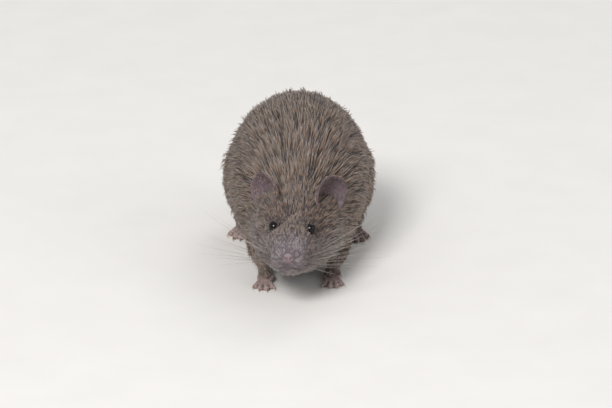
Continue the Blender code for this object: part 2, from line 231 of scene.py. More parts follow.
def spread(values, edges, passes, amount=1.0):
    # each pass moves a value towards the mean of its neighbours
    values = np.array(values, float)
    flat = values.reshape(len(values), -1)
    count = np.bincount(edges.ravel(), minlength=len(flat)).astype(float)
    count[count == 0] = 1
    share = np.asarray(amount, float).reshape(-1, 1)
    for _ in range(passes):
        total = np.empty_like(flat)
        for k in range(flat.shape[1]):
            total[:, k] = np.bincount(edges[:, 0], flat[edges[:, 1], k], len(flat))
            total[:, k] += np.bincount(edges[:, 1], flat[edges[:, 0], k], len(flat))
        flat = mixed(flat, total / count[:, None], share)
    return flat.reshape(values.shape)


def evenOut(points, edges, passes, amount):
    # smoothing that swells back each time, so the form doesn't shrink
    for _ in range(passes):
        points = spread(points, edges, 1, amount)
        points = spread(points, edges, 1, -1.03 * amount)
    return points


def hullOf(nodes, place, reach):
    # round the nodes' points near a place
    bm = bmesh.new()
    for node in nodes:
        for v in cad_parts[node].data.vertices:
            if (v.co - Vector(place)).length < reach:
                bm.verts.new(v.co)
    inner = bmesh.ops.convex_hull(bm, input=bm.verts[:])
    loose = {v for v in inner["geom_interior"] + inner["geom_unused"] if isinstance(v, bmesh.types.BMVert)}
    bmesh.ops.delete(bm, geom=list(loose), context="VERTS")
    return meshFrom(bm, "hull")


def joinedMesh(name, meshes):
    bm = bmesh.new()
    for mesh in meshes:
        bm.from_mesh(mesh)
    return meshFrom(bm, name)


def modified(mesh, *modifiers):
    # the mesh as modifiers leave it
    piece = newObject("modified", mesh)
    for kind, settings in modifiers:
        modifier = piece.modifiers.new(kind, kind)
        for name, value in settings.items():
            setattr(modifier, name, value)
    bpy.context.view_layer.update()
    evaluated = piece.evaluated_get(bpy.context.evaluated_depsgraph_get())
    mesh = bpy.data.meshes.new_from_object(evaluated)
    bpy.data.objects.remove(piece)
    return mesh


def voxelMesh(nodes, voxel, swell, bridges=()):
    # one skin round the nodes, which are swollen a little to close the gaps between them
    parts = []
    for node in nodes:
        bm = bmesh.new()
        bm.from_mesh(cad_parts[node].data)
        bmesh.ops.remove_doubles(bm, verts=bm.verts, dist=1e-6)
        bm.normal_update()
        for v in bm.verts:
            v.co += v.normal * swell
        parts.append(meshFrom(bm, "part"))
    parts += [hullOf(nodes, place, reach) for place, reach in bridges]
    return modified(joinedMesh("voxels", parts), ("REMESH", {"mode": "VOXEL", "voxel_size": voxel}))


def refine(mesh, centre, reach):
    # splits every face near a place into four
    bm = bmesh.new()
    bm.from_mesh(mesh)
    centre = Vector(centre)
    near = {v for v in bm.verts if (v.co - centre).length < reach}
    edges = [e for e in bm.edges if e.verts[0] in near and e.verts[1] in near]
    bmesh.ops.subdivide_edges(bm, edges=edges, cuts=1, use_grid_fill=True)
    bmesh.ops.triangulate(bm, faces=[f for f in bm.faces if len(f.verts) > 4])
    bm.to_mesh(mesh)
    bm.free()


def nodeOwners(nodes, points):
    # the name of the node nearest to each point
    corners, faces, owner = [], [], []
    for node in nodes:
        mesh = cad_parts[node].data
        faces += (trianglesOf(mesh) + len(corners)).tolist()
        corners += pointsOf(mesh).tolist()
        owner += [node] * (len(faces) - len(owner))
    tree = BVHTree.FromPolygons(corners, faces)
    return np.array([owner[tree.find_nearest(Vector(p))[2]] for p in points])


def startsWith(names, *starts):
    return np.array([n.startswith(starts) for n in names], float)


skinForm = {
    "voxel": 0.64 * mm,
    "swell": 0.2 * mm,
    "evenPasses": 8,
    "faceDepth": 0.25 * mm,  # depth of the coat on the muzzle
    "browDepth": 1.6 * mm,  # and on the crown
    "crown": (1.5 * mm, 15 * mm),  # this far from the nose one goes over into the other
    "eyeDepth": 0.35 * mm,  # depth at the eyes, as far out as the reach
    "eyeReach": (0.6 * eyeRadius, 3.2 * eyeRadius),
    "floorDepth": 0.3 * mm,  # depth of a coat that touches the floor
}

# depth of the coat over each part, from the skin to its tips
coatDepth = {
    "trunk": 2.4 * mm,
    "neck": 2.1 * mm,
    "head": 1.6 * mm,
    "nose": 0.08 * mm,
    "upper_foreleg": 2.2 * mm,
    "thigh": 2.3 * mm,
    "forearm": 1.7 * mm,
    "shank": 1.7 * mm,
    "tail": 0.5 * mm,
    "eye": 0.3 * mm,
}


def makeBodyMesh():
    print("body skin")
    nodes = nodesNamed(*coatDepth)
    mesh = voxelMesh(nodes, skinForm["voxel"], skinForm["swell"])
    points, edges = pointsOf(mesh), edgesOf(mesh)
    near = nodeOwners(nodes, points)
    depth = sum(value * startsWith(near, part) for part, value in coatDepth.items())
    soft = spread(1.0 - startsWith(near, "tail", "nose", "eye"), edges, 6)
    points = spread(points, edges, skinForm["evenPasses"], 0.6 * soft)
    points = evenOut(points, edges, 5, 0.5)
    depth = spread(depth, edges, 8)
    onHead = spread(startsWith(near, "head", "nose", "eye"), edges, 8)
    crown = ramp(distance(points, nose), *skinForm["crown"])
    depth = mixed(depth, mixed(skinForm["faceDepth"], skinForm["browDepth"], crown), onHead)
    for centre in eyes.values():
        clear = ramp(distance(points, centre), *skinForm["eyeReach"])
        depth = mixed(skinForm["eyeDepth"], depth, clear)
    depth = np.minimum(depth, skinForm["floorDepth"] + np.maximum(points[:, 2], 0) * 0.5)
    setPoints(mesh, points)
    points = points - normalsOf(mesh) * (depth + skinForm["swell"])[:, None]
    points = spread(points, edges, 8, 0.5 * soft)
    setPoints(mesh, points)
    return mesh


lidForm = {
    "halfLength": 80.0,  # degrees from the middle of the eye to its corners
    "halfHeight": 70.0,
    "corner": (2.2, 0.45, 6.0),  # it is drawn out here: place and width in radians, degrees
    "thickness": 0.14 * mm,
    "edge": (5, 3),  # degrees inside and outside the opening over which the edge rises
    "dip": (0.05 * mm, 8, 24),  # it dips again behind the edge: depth, from and to these degrees
    "tuck": 0.84,  # the skin inside is this share of the eye's radius
    "reach": (1.15 * eyeRadius, 2.3 * eyeRadius),  # where it goes over into the face
    "splits": (2.4 * eyeRadius, 2.0 * eyeRadius, 1.7 * eyeRadius),  # faces this near are split in turn
}


def eyeAxes(side):
    out = lookingOut(side)
    ahead = unit(headForward - out * dot(headForward, out))
    return out, ahead, np.cross(out, ahead) * sides[side]


def shapeLids(points, side):
    out, ahead, up = eyeAxes(side)
    away = points - eyes[side]
    reach = np.linalg.norm(away, axis=1)
    near = reach < 2.6 * eyeRadius
    reach = reach[near]
    ray = unit(away[near])
    angle = np.degrees(np.arccos(np.clip(dot(ray, out), -1, 1)))
    around = np.arctan2(dot(ray, up), dot(ray, ahead))
    long, high = lidForm["halfLength"], lidForm["halfHeight"]
    opening = 1 / np.sqrt((np.cos(around) / long) ** 2 + (np.sin(around) / high) ** 2)
    place, width, draw = lidForm["corner"]
    opening = opening + draw * bump(around, place, width)
    inside = eyeRadius * lidForm["tuck"]
    rim = eyeRadius + lidForm["thickness"]
    before, after = lidForm["edge"]
    lid = mixed(inside, rim, ramp(angle, opening - before, opening + after))
    dip, start, end = lidForm["dip"]
    lid = lid - dip * ramp(angle, opening + start, opening + end)
    blend = ramp(reach * np.sin(np.radians(np.minimum(angle, 90))), *lidForm["reach"])
    shaped = points.copy()
    shaped[near] = eyes[side] + ray * mixed(lid, reach, blend)[:, None]
    return shaped


noseForm = {
    "nostrilDepth": 0.42 * mm,
    "groove": 0.16 * mm,
    "wing": 0.07 * mm,  # swell beside the nostrils
    "upperLip": 0.14 * mm,
    "lipDrop": 2.0 * mm,  # from the middle of the nose down to the lips
    "lipDepth": 0.22 * mm,
    "padEdge": (1.7 * mm, 0.8 * mm),  # place and width of its soft edge
    "splits": (6.5 * mm, 5.2 * mm, 2.6 * mm),  # as for the lids
}


def mouthAt(points, width):
    # a line that drops from the middle of the lips to their corners, in millimetres
    across, forward, up = (v / mm for v in inHead(points, nose))
    side = np.abs(across)
    lip = -noseForm["lipDrop"] / mm - 0.3 * np.minimum(side, 2.2) - 0.16 * np.maximum(0, -forward - 1)
    return bump(up, lip, width) * ramp(forward, -6.0, -4.0) * ramp(3.0 - side, 0, 1), lip


def shapeMuzzle(points, normals):
    # in millimetres from the middle of the nose
    across, forward, up = (v / mm for v in inHead(points, nose))
    front = ramp(forward, -1.6, -0.2)
    side = np.abs(across)
    slit = bump(side, 0.62 + 0.25 * (up + 0.1), 0.2) * bump(up, -0.02, 0.36)
    comma = bump(side, 1.0, 0.28) * bump(up, 0.28, 0.14)
    nostril = np.maximum(slit, 0.8 * comma) * front
    groove = bump(across, 0, 0.13) * ramp(0.5 - up, 0.0, 0.5) * ramp(up, -2.2, -1.8)
    groove = groove * ramp(forward, -2.2, -1.0)
    wings = bump(side, 0.95, 0.3) * bump(up, 0.0, 0.5) * front
    mouth, lip = mouthAt(points, 0.2)
    upperLip = bump(up, lip + 0.85, 0.6) * bump(side, 1.2, 1.0) * ramp(forward, -5.5, -2.5)
    shift = noseForm["wing"] * wings + noseForm["upperLip"] * upperLip
    shift = shift - noseForm["nostrilDepth"] * nostril - noseForm["groove"] * groove
    shift = shift - noseForm["lipDepth"] * mouth
    return points + normals * shift[:, None]


def shapeFace(mesh):
    print("lids, nose and mouth")
    for reach in noseForm["splits"]:
        refine(mesh, nose - headUp * 0.8 * mm, reach)
    for side in sides:
        for reach in lidForm["splits"]:
            refine(mesh, eyes[side], reach)
    points, edges = pointsOf(mesh), edgesOf(mesh)
    fromNose = distance(points, nose)
    near = (fromNose < 6 * mm) | (fromEyes(points) < 2.4 * eyeRadius)
    points = spread(points, edges, 6, 0.5 * near)
    points = spread(points, edges, 30, 0.7 * bump(fromNose, *noseForm["padEdge"]))
    setPoints(mesh, points)
    points = shapeMuzzle(points, normalsOf(mesh))
    for side in sides:
        points = shapeLids(points, side)
    points = spread(points, edges, 1, 0.35 * near)
    setPoints(mesh, points)


limbForm = {
    "voxel": 0.27 * mm,
    "swell": 0.16 * mm,
    "bridge": 2.4 * mm,  # the gap between leg and paw is filled this far from the wrist
    "legDepth": 0.8 * mm,  # depth of the coat on the leg
    "topDepth": 1.1 * mm,  # and how much deeper it is where the leg goes into the body
    "wristReach": 4.0 * mm,  # the coat is thin this near the wrist
    "toeRelief": 1.1,  # how much the gaps between the toes are deepened
    "legTop": (3.5 * mm, 8 * mm),  # heights between which the leg goes into the body's coat
}


def wristCover(points, paw):
    # how far the leg's hair reaches down over a paw
    return ramp(points[:, 2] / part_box(paw)[1][2], 0.45, 0.9)


def legTop(points):
    return ramp(points[:, 2], *limbForm["legTop"])


def makeLimbMesh(leg, paw):
    # a lower leg and its paw, fine enough for the toes; its upper end is inside the body
    ends = pointsOf(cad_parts[leg].data)
    wrist = ends[np.argsort(distance(ends, boxCentre(paw)))[:20]].mean(axis=0)
    mesh = voxelMesh([leg, paw], limbForm["voxel"], limbForm["swell"], [(wrist, limbForm["bridge"])])
    points, edges = pointsOf(mesh), edgesOf(mesh)
    onLeg = spread(startsWith(nodeOwners([leg, paw], points), leg), edges, 24)
    points = evenOut(points, edges, 10, 0.3 + 0.3 * onLeg)
    cover = wristCover(points, paw)
    points = spread(points, edges, 24, 0.6 * ramp(np.maximum(onLeg, cover), 0.3, 1.0))
    relief = points - spread(points, edges, 14, 0.5)
    points = points + relief * (limbForm["toeRelief"] * (1 - onLeg) * (1 - cover))[:, None]
    setPoints(mesh, points)
    slim = 1 - 0.65 * bump(distance(points, wrist), 0, limbForm["wristReach"])
    depth = limbForm["legDepth"] * np.maximum(onLeg, cover) * slim
    depth = limbForm["swell"] + depth + limbForm["topDepth"] * onLeg * legTop(points)
    points = points - normalsOf(mesh) * depth[:, None]
    points = spread(points, edges, 8, 0.5 * ramp(onLeg, 0.02, 0.5))
    points[:, 2] = np.maximum(points[:, 2], 0.0)
    setPoints(mesh, points)
    return mesh


earForm = {
    "out": 48.0,  # degrees the opening faces outwards
    "back": 12.0,  # degrees the top leans back
    "splay": 10.0,  # degrees the top leans outwards
    "height": 1.06,  # as a share of the ear's solid
    "foot": 0.53,  # share of it that lies below the solid's middle
    "width": 9.2 * mm,
    "cup": 2.7 * mm,
    "waist": 0.28,  # how much narrower the foot is
    "fold": (0.10, 0.62, 0.09),  # height as a share of the cup, place and width from middle to rim
    "rim": (0.07, 0.97, 0.05),
    "thickness": 0.34 * mm,
    "rows": 22,
    "columns": 44,
}


def earAxes(side):
    sign = sides[side]
    out, back, splay = (radians(earForm[name]) for name in ("out", "back", "splay"))
    opening = headForward * cos(out) + headSide * sin(out) * sign
    lean = -headForward * sin(back)
    lean = lean + headSide * sin(splay) * sign
    up = unit(headUp + lean)
    opening = unit(opening - up * dot(opening, up))
    return np.cross(up, opening), opening, up


def makeEarMesh(side):
    # a cupped leaf of skin with a rolled rim and low folds inside, grown down into the head
    across, opening, up = earAxes(side)
    low, high = (np.array(c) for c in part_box("ear_" + side))
    height = (high[2] - low[2]) * earForm["height"]
    foot = (low + high) / 2 - up * height * earForm["foot"] - opening * 0.2 * mm
    foldHeight, foldPlace, foldWidth = earForm["fold"]
    rimHeight, rimPlace, rimWidth = earForm["rim"]
    rows, columns = earForm["rows"], earForm["columns"]
    bm = bmesh.new()
    grid = []
    for i in range(rows + 1):
        ring = i / rows
        row = []
        for j in range(columns if i else 1):
            angle = 2 * pi * j / columns
            x, z = ring * sin(angle), ring * cos(angle)
            x = x * (1 + 0.12 * z)  # broadest above the middle
            narrow = 1 - earForm["waist"] * float(ramp(-z, 0.1, 1.1))
            fold = foldHeight * bump(ring, foldPlace, foldWidth)
            fold = fold * (0.4 + 0.6 * cos(angle * 2 + 0.6) ** 2)
            rim = rimHeight * bump(ring, rimPlace, rimWidth)
            sink = earForm["cup"] * (1 - ring**2.2 - fold - rim)
            place = foot + across * x * narrow * earForm["width"] / 2 + up * height * (z + 1) / 2
            row.append(bm.verts.new(place - opening * sink))
        grid.append(row if i else row * columns)
    for inner, outer in zip(grid, grid[1:]):
        for j in range(columns):
            k = (j + 1) % columns
            bm.faces.new(list(dict.fromkeys((inner[j], outer[j], outer[k], inner[k]))))
    bmesh.ops.recalc_face_normals(bm, faces=bm.faces)
    bm.normal_update()
    if grid[3][0].normal.dot(Vector(opening)) < 0:
        bmesh.ops.reverse_faces(bm, faces=bm.faces)
    shell = ("SOLIDIFY", {"thickness": earForm["thickness"], "offset": -1})
    return modified(meshFrom(bm, "ear"), shell, ("SUBSURF", {"levels": 1, "render_levels": 1}))


def principalAxis(points, reach):
    # the direction in which a slender part runs near each of its points
    tree = treeOf(points)
    axes = np.empty_like(points)
    for i, p in enumerate(points):
        near = points[[k for _, k, _ in tree.find_range(Vector(p), reach)]]
        away = near - near.mean(axis=0)
        axes[i] = np.linalg.svd(away.T @ away)[0][:, 0]
    return axes


# the hair's length over each part, the tufts on a square millimetre and how far they stand off the skin
hair = {
    "body": (5.6 * mm, 13.0, 2.3 * mm),
    "belly": (4.2 * mm, 9.0, 1.6 * mm),
    "head": (3.4 * mm, 25.0, 1.7 * mm),
    "face": (1.0 * mm, 38.0, 0.22 * mm),
    "leg": (1.8 * mm, 22.0, 0.65 * mm),
    "paw": (0.55 * mm, 18.0, 0.08 * mm),
    "tail": (1.4 * mm, 14.0, 0.45 * mm),
    "ear": (0.9 * mm, 14.0, 0.3 * mm),
}
coatRoom = {part: room for part, (_, _, room) in hair.items()}

hairLie = {
    "faceFan": (6 * mm, 22 * mm),  # hair fans out from the nose as far as this, then runs straight back
    "parting": (0.8, 1.7 * eyeRadius),  # how strongly it parts before an eye, and how near
    "flankFall": (0.75, 2 * mm, 12 * mm),  # how far hair hangs down, and heights over which it sets in
    "rumpFall": (0.9, 14 * mm, 26 * mm),  # and places behind the middle over which it sets in
    "halfWidth": 17 * mm,
    "tailReach": 4.5 * mm,  # hair this near its root follows the tail
    "besideEye": (0.85 * mm, 1.7 * mm),  # hair is this short within this reach of an eye
    "eyeEdge": (1.03 * eyeRadius, 1.1 * eyeRadius),
    "muzzle": (15 * mm, 3 * mm),  # hair shortens between these distances from the nose
    "padEdge": (1.0 * mm, 1.25 * mm),
    "padFoot": (6.6 * mm, 5.2 * mm),  # below the eyes; the chin under the bare pad is haired
}


def fieldsOf(points, normals, **given):
    # a part that isn't given has no share of the points
    parts = dict.fromkeys(("head", "tail", "belly", "leg", "paw", "ear"), np.zeros(len(points)))
    fields = {**parts, **given}
    fields["marks"] = markings(points, normals, fields)
    return fields


def hairOf(points, start, *blends):
    # length and density, moved from one part's towards others' by their shares
    length, density = (np.full(len(points), value) for value in hair[start][:2])
    for part, share in blends:
        length = mixed(length, hair[part][0], share)
        density = mixed(density, hair[part][1], share)
    return length, density


def bodyFields(mesh):
    # how the hair lies, how deep and long it is, and which part each point belongs to
    points, normals, edges = surfaceOf(mesh)
    near = nodeOwners(nodesNamed(*coatDepth), points)
    head = spread(startsWith(near, "head", "nose", "eye"), edges, 24)
    tail = spread(startsWith(near, "tail"), edges, 3)
    lower = spread(startsWith(near, "forearm", "shank"), edges, 3)
    fromNose, fromEye = distance(points, nose), fromEyes(points)

    back = -headForward - headUp * 0.18
    flow = unit(points - nose + headUp * 1.5 * mm)
    flow = unit(mixed(flow, back, ramp(fromNose, *hairLie["faceFan"])[:, None]))
    strength, reach = hairLie["parting"]
    for centre in eyes.values():
        away = unit(points - centre)
        against = np.minimum(dot(away, flow), 0)[:, None]
        aside = away - flow * against  # hair never runs back towards the nose
        flow = unit(flow + aside * (strength * bump(distance(points, centre), 0, reach))[:, None])
    side = np.clip(points[:, 0] / hairLie["halfWidth"], -1, 1)
    hang, *heights = hairLie["flankFall"]
    fall = hang * side**2 * ramp(points[:, 2], *heights)
    hang, *places = hairLie["rumpFall"]
    fall = fall + hang * ramp(points[:, 1], *places)
    down = np.stack([0.12 * side, np.ones(len(points)), -fall], axis=1)
    flow = flow * head[:, None] + unit(down) * (1 - head)[:, None]
    isTail = tail > 0.4
    axis = principalAxis(points[isTail], 3.0 * mm)
    flow[isTail] = axis * np.sign(axis[:, 1])[:, None]
    tailRoot = points[isTail][np.argsort(points[isTail, 1])[:40]].mean(axis=0)
    atRoot = bump(distance(points, tailRoot), 0, hairLie["tailReach"])
    flow = mixed(flow, flow[isTail].mean(axis=0), (atRoot * (1 - tail))[:, None])
    flow = flattened(spread(flow, edges, 10), normals)

    belly = spread(ramp(-normals[:, 2], 0.05, 0.75), edges, 8)
    muzzle = head * ramp(fromNose, *hairLie["muzzle"])
    onTail = np.maximum(tail, atRoot)
    blends = ("belly", belly * (1 - head)), ("head", head), ("face", muzzle), ("tail", onTail)
    length, density = hairOf(points, "body", *blends)
    short, reach = hairLie["besideEye"]
    length = mixed(length, short, bump(fromEye, eyeRadius, reach) * head)
    density = density * ramp(fromEye, *hairLie["eyeEdge"])
    offPad = ramp(fromNose, *hairLie["padEdge"])
    above = ramp(-inHead(points, eyeMiddle)[2], *hairLie["padFoot"])
    density = density * (offPad + (1 - offPad) * (1 - above))
    density = density * ramp(0.5 - lower, -0.2, 0.2) * (1 - mouthAt(points, 0.24)[0])

    depth = mixed(coatRoom["body"], coatRoom["belly"], belly)
    crown = ramp(fromNose, *skinForm["crown"])
    depth = mixed(depth, mixed(coatRoom["face"], coatRoom["head"], crown), head)
    depth = np.minimum(depth, 0.1 * mm + 0.34 * np.maximum(fromEye - hairLie["eyeEdge"][1], 0))
    depth = mixed(depth, coatRoom["tail"], onTail)
    parts = {"head": head, "tail": tail, "belly": belly, "leg": lower}
    return fieldsOf(points, normals, flow=flow, depth=depth, length=length, density=density, **parts)


def limbFields(mesh, leg, paw):
    points, normals, edges = surfaceOf(mesh)
    onLeg = spread(startsWith(nodeOwners([leg, paw], points), leg), edges, 16)
    onLeg = np.maximum(onLeg, wristCover(points, paw))
    along = unit(boxCentre(paw) - boxCentre(leg)) * (1.0 if leg.startswith("forearm") else 0.3)
    along = along + np.array([0, 0.2, 0])
    toes = np.array([0.0, -1.0, -0.1])
    flow = flattened(along * onLeg[:, None] + toes * (1 - onLeg)[:, None], normals)
    top = onLeg * legTop(points)
    length, density = hairOf(points, "paw", ("leg", ramp(onLeg, 0.1, 0.9)), ("belly", top))
    density = density * (1 - ramp(-normals[:, 2], 0.2, 0.5) * (1 - onLeg))  # soles are bare
    depth = mixed(coatRoom["paw"], coatRoom["leg"], onLeg)
    depth = depth + (coatRoom["belly"] - coatRoom["leg"]) * onLeg * legTop(points)
    parts = {"paw": 1 - onLeg, "leg": onLeg}
    return fieldsOf(points, normals, flow=flow, depth=depth, length=length, density=density, **parts)


def earFields(mesh, side):
    points, normals, _ = surfaceOf(mesh)
    _, opening, up = earAxes(side)
    low = points[:, 2].min()
    height = (points[:, 2] - low) / (points[:, 2].max() - low)
    flow = flattened(np.tile(up + opening * 0.2, (len(points), 1)), normals)
    inside = ramp(dot(normals, opening), -0.1, 0.4)
    ones = np.ones(len(points))
    length = hair["ear"][0] * (1.0 + 1.4 * ramp(0.6 - height, 0, 0.4) * (1 - inside))
    density = hair["ear"][1] * (1.6 - 1.4 * inside)
    depth = coatRoom["ear"] * ones
    parts = {"head": ones, "ear": ones}
    return fieldsOf(points, normals, flow=flow, depth=depth, length=length, density=density, **parts)


def markings(points, normals, fields):
    # shares from 0 to 1 that skin and tufts both take; limits are in millimetres
    across, forward, up = (v / mm for v in inHead(points, eyeMiddle))
    head, belly = fields["head"], fields["belly"]
    side = np.abs(across)
    fromNose = distance(points, nose) / mm
    wander = 0.8 * waves(points, 3.0 * mm, 11)
    brow = head * bump(forward, -3.0, 6.5) * ramp(-side + wander, -8.0, -2.5)
    cheek = head * ramp(-up + wander, -1.5, 4.0) * ramp(side, 1.5, 6.0)
    chin = head * ramp(-normals[:, 2], -0.35, 0.6) * ramp(-up, 3.0, 6.0)
    return {
        "flank": (1 - head) * (1 - belly) * ramp(points[:, 2] / mm, 24, 8),
        "belly": np.maximum(belly * (1 - head), chin),
        "muzzle": head * ramp(-fromNose + wander, -9.5, -1.5) * ramp(-side, -7.5, -2.5),
        "brow": brow * ramp(normals[:, 2], -0.2, 0.6),
        "cheek": 0.85 * cheek * ramp(forward, -18.0, -6.0),
        "pad": head * ramp(-fromNose, -1.35, -1.0),
        "lid": head * bump(fromEyes(points), eyeRadius, 0.2 * mm),
        "ear": fields["ear"],
        "paw": np.maximum(fields["paw"], 0.5 * fields["leg"] * (1 - legTop(points))),
        "tail": fields["tail"],
    }


def shadeInCreases(mesh):
    # how sunk the skin is: high between the toes, in the nostrils and round the lids, 0 on open skin; the
    # skin material darkens these folds by it as painted shade
    points, normals, edges = surfaceOf(mesh)
    sunk = dot(spread(points, edges, 8, 0.5) - points, normals) / mm
    return 0.7 * ramp(sunk, 0.01, 0.09)


def makeSkin():
    body = makeBodyMesh()
    shapeFace(body)
    islands = [("body", body, bodyFields(body))]
    print("lower legs and ears")
    for side in sides:
        for leg, paw in (("forearm_" + side, "forepaw_" + side), ("shank_" + side, "hindpaw_" + side)):
            mesh = makeLimbMesh(leg, paw)
            islands.append(("coatLegs", mesh, limbFields(mesh, leg, paw)))
        mesh = makeEarMesh(side)
        islands.append(("coatEars", mesh, earFields(mesh, side)))
    skin = joinedMesh("skin", [mesh for _, mesh, _ in islands])
    skin.shade_smooth()
    print("skin of", len(trianglesOf(skin)), "triangles")
    # the sunk folds carry a share of painted shade for the skin's colour
    marks = [{**fields["marks"], "creaseShade": shadeInCreases(mesh)} for _, mesh, fields in islands]
    values = {name: np.concatenate([m[name] for m in marks]) for name in marks[0]}
    values["tailRun"] = tailRun(pointsOf(skin), values["tail"])
    setValues(skin, values)
    flesh = nodesNamed("trunk", "neck", "head", "nose", "ear", "upper", "thigh", "forearm", "shank", "tail")
    paws = [n for n in nodesNamed("forepaw", "hindpaw") if "claw" not in n]
    addPiece("skin", skin, makeSkinMaterial(), "skin", *flesh, *paws)
    return islands


def tailRun(points, tail):
    # distance along the tail's middle line in millimetres
    on = tail > 0.05
    bins = np.linspace(points[on, 1].min(), points[on, 1].max(), 40)
    place = np.digitize(points[on, 1], bins)
    used = [k for k in range(1, 40) if np.any(place == k)]
    line = np.array([points[on][place == k].mean(axis=0) for k in used])
    run = np.concatenate([[0], np.cumsum(np.linalg.norm(np.diff(line, axis=0), axis=1))])
    return np.interp(points[:, 1], line[:, 1], run) / mm


coat = {
    "rootSink": 0.06 * mm,
    "rootWidth": 0.75,  # as shares of the tuft's width
    "lift": 0.72,  # share of its height that a tuft has reached by its middle
    "top": (0.58, 0.2),  # least height of a tip as a share of the depth, and how much more at most
    "length": (0.85, 0.35),  # the same for a hair's length
    "guards": (0.3, 0.22),  # draws below these are pale-tipped guard hairs
    "guardMore": (0.14, 0.17, 0.6),  # how much longer, higher and thicker
    "wilds": (0.02, 0.01),  # and these stand off and break the outline
    "wildMore": (0.15, 0.35),  # how much longer and higher
    "swing": 13.0,  # degrees the lie wanders from place to place
    "jitter": 8.0,  # and from tuft to tuft
    "clump": 0.3,  # how far tips draw together
    "perClump": 14,
    "perLock": 5,  # hairs in a lock, which share a tone
    "lockShare": (0.4, 0.6),  # share that takes its lock's tone, on body and head
    "patch": 0.003,  # size of a tuft's place on the unwrap
    "mostTufts": 19800,
    "floorGap": 0.02 * mm,
    "eyeGap": 0.07,  # share of an eye's radius that stays clear round it
}

coatMarks = ("flank", "belly", "cheek", "brow", "muzzle", "ear", "paw", "tail")

# width of a tuft by its length
tuftWidth = ((0.4 * mm, 0.08 * mm), (1.0 * mm, 0.115 * mm), (2.5 * mm, 0.15 * mm), (6.0 * mm, 0.19 * mm))


def waves(points, size, seed, count=10):
    # smooth noise between about -1 and 1, made of a few waves
    draw = np.random.default_rng(seed)
    steps = unit(draw.normal(size=(count, 3))) * (2 * pi / size) * draw.uniform(0.6, 1.4, (count, 1))
    phases = draw.uniform(0, 2 * pi, count)
    return np.sin(points @ steps.T + phases).sum(axis=1) / sqrt(count)


def sampleRoots(mesh, density):
    # spread evenly by area and density: the corners round each root, and its shares of them
    corners, points = trianglesOf(mesh), pointsOf(mesh)
    a, b, c = (points[corners[:, k]] for k in range(3))
    area = np.linalg.norm(np.cross(b - a, c - a), axis=1) / 2
    total = np.cumsum(area * density[corners].mean(axis=1) * 1e6)
    count = int(total[-1])
    place = (np.arange(count) + rng.random(count)) * (total[-1] / count)
    face = np.clip(np.searchsorted(total, place), 0, len(corners) - 1)
    u, v = rng.random((2, count))
    flip = u + v > 1
    u[flip], v[flip] = 1 - u[flip], 1 - v[flip]
    return corners[face], np.stack([1 - u - v, u, v], axis=1)


def groundUnder(tree, corners, points, normals, flow):
    # the nearest skin to each point, its normal and the lie of its hair
    found = [tree.find_nearest(Vector(p)) for p in points]
    place = np.array([f[0] for f in found])
    face = corners[[f[2] for f in found]]
    return place, unit(normals[face].mean(axis=1)), unit(flow[face].mean(axis=1))


def leadersOf(root, every):
    # every so many roots lead the ones nearest to them
    leaders = np.arange(0, len(root), every)
    tree = treeOf(root[leaders])
    return leaders[[tree.find(Vector(p))[1] for p in root]]


def growTufts(mesh, fields):
    corners, points, normals = trianglesOf(mesh), pointsOf(mesh), normalsOf(mesh)
    tree = BVHTree.FromPolygons(points.tolist(), corners.tolist())
    rootCorners, shares = sampleRoots(mesh, fields["density"])

    def atRoots(values):
        return np.einsum("nk...,nk->n...", values[rootCorners], shares)

    root, normal = atRoots(points), unit(atRoots(normals))
    lie, length, depth, onHead = (atRoots(fields[k]) for k in ("flow", "length", "depth", "head"))
    count = len(root)

    swing = coat["swing"] * (0.6 * waves(root, 4.5 * mm, 3) + 0.6 * waves(root, 1.6 * mm, 4))
    swing = np.radians(swing + rng.normal(0, coat["jitter"], count))
    sideways = np.cross(normal, lie)
    lie = unit(lie * np.cos(swing)[:, None] + sideways * np.sin(swing)[:, None])
    least, more = coat["length"]
    length = length * (least + more * rng.random(count)) * (1 + 0.12 * waves(root, 2.5 * mm, 5))
    shade = rng.random(count)
    ofLock = rng.random(count) < mixed(*coat["lockShare"], onHead)
    shade = np.where(ofLock, shade[leadersOf(root, coat["perLock"])], shade)
    guard, wild = ramp(shade, *coat["guards"]), ramp(shade, *coat["wilds"])
    longer, higher, thicker = coat["guardMore"]
    wildLonger, wildHigher = coat["wildMore"]
    length = length * (1 + longer * guard + wildLonger * wild)
    least, more = coat["top"]
    top = least + more * rng.random(count) + higher * guard + 0.12 * waves(root, 2.0 * mm, 6)
    top = np.minimum(depth * (np.clip(top, 0.3, 1.05) + wildHigher * wild), length * 0.75)

    step = (length / 2)[:, None]
    middle, normal1, lie1 = groundUnder(tree, corners, root + lie * step, normals, fields["flow"])
    turned = unit(mixed(lie1, lie, 0.7))
    tip, normal2, _ = groundUnder(tree, corners, middle + turned * step, normals, fields["flow"])
    middle = middle + normal1 * (top * coat["lift"])[:, None]
    tip = tip + normal2 * top[:, None]

    # tips lean towards the middle of their clump
    leader = leadersOf(root, coat["perClump"])
    near = np.linalg.norm(root[leader] - root, axis=1) < 0.5 * length
    pull = (tip[leader] - tip) * (coat["clump"] * near)[:, None]
    pull = pull - normal2 * dot(pull, normal2)[:, None]
    tip = tip + pull
    middle = middle + pull * 0.3

    lengths, widths = zip(*tuftWidth)
    width = np.interp(length, lengths, widths) * (0.8 + 0.4 * rng.random(count))
    tufts = {
        "root": root - normal * coat["rootSink"], "middle": middle, "tip": tip, "normal": normal,
        "width": width * (0.9 + thicker * guard), "shade": shade, "head": onHead,
    }
    for name, value in fields["marks"].items():
        value = atRoots(value)
        tufts[name] = np.clip(value + value * (1 - value) * rng.normal(0, 0.9, count), 0, 1)  # edges mingle
    away = np.min([fromEyes(place) for place in (middle, tip, (middle + tip) / 2)], axis=0)
    clear = away > (1 + coat["eyeGap"]) * eyeRadius
    return {name: value[clear] for name, value in tufts.items()}


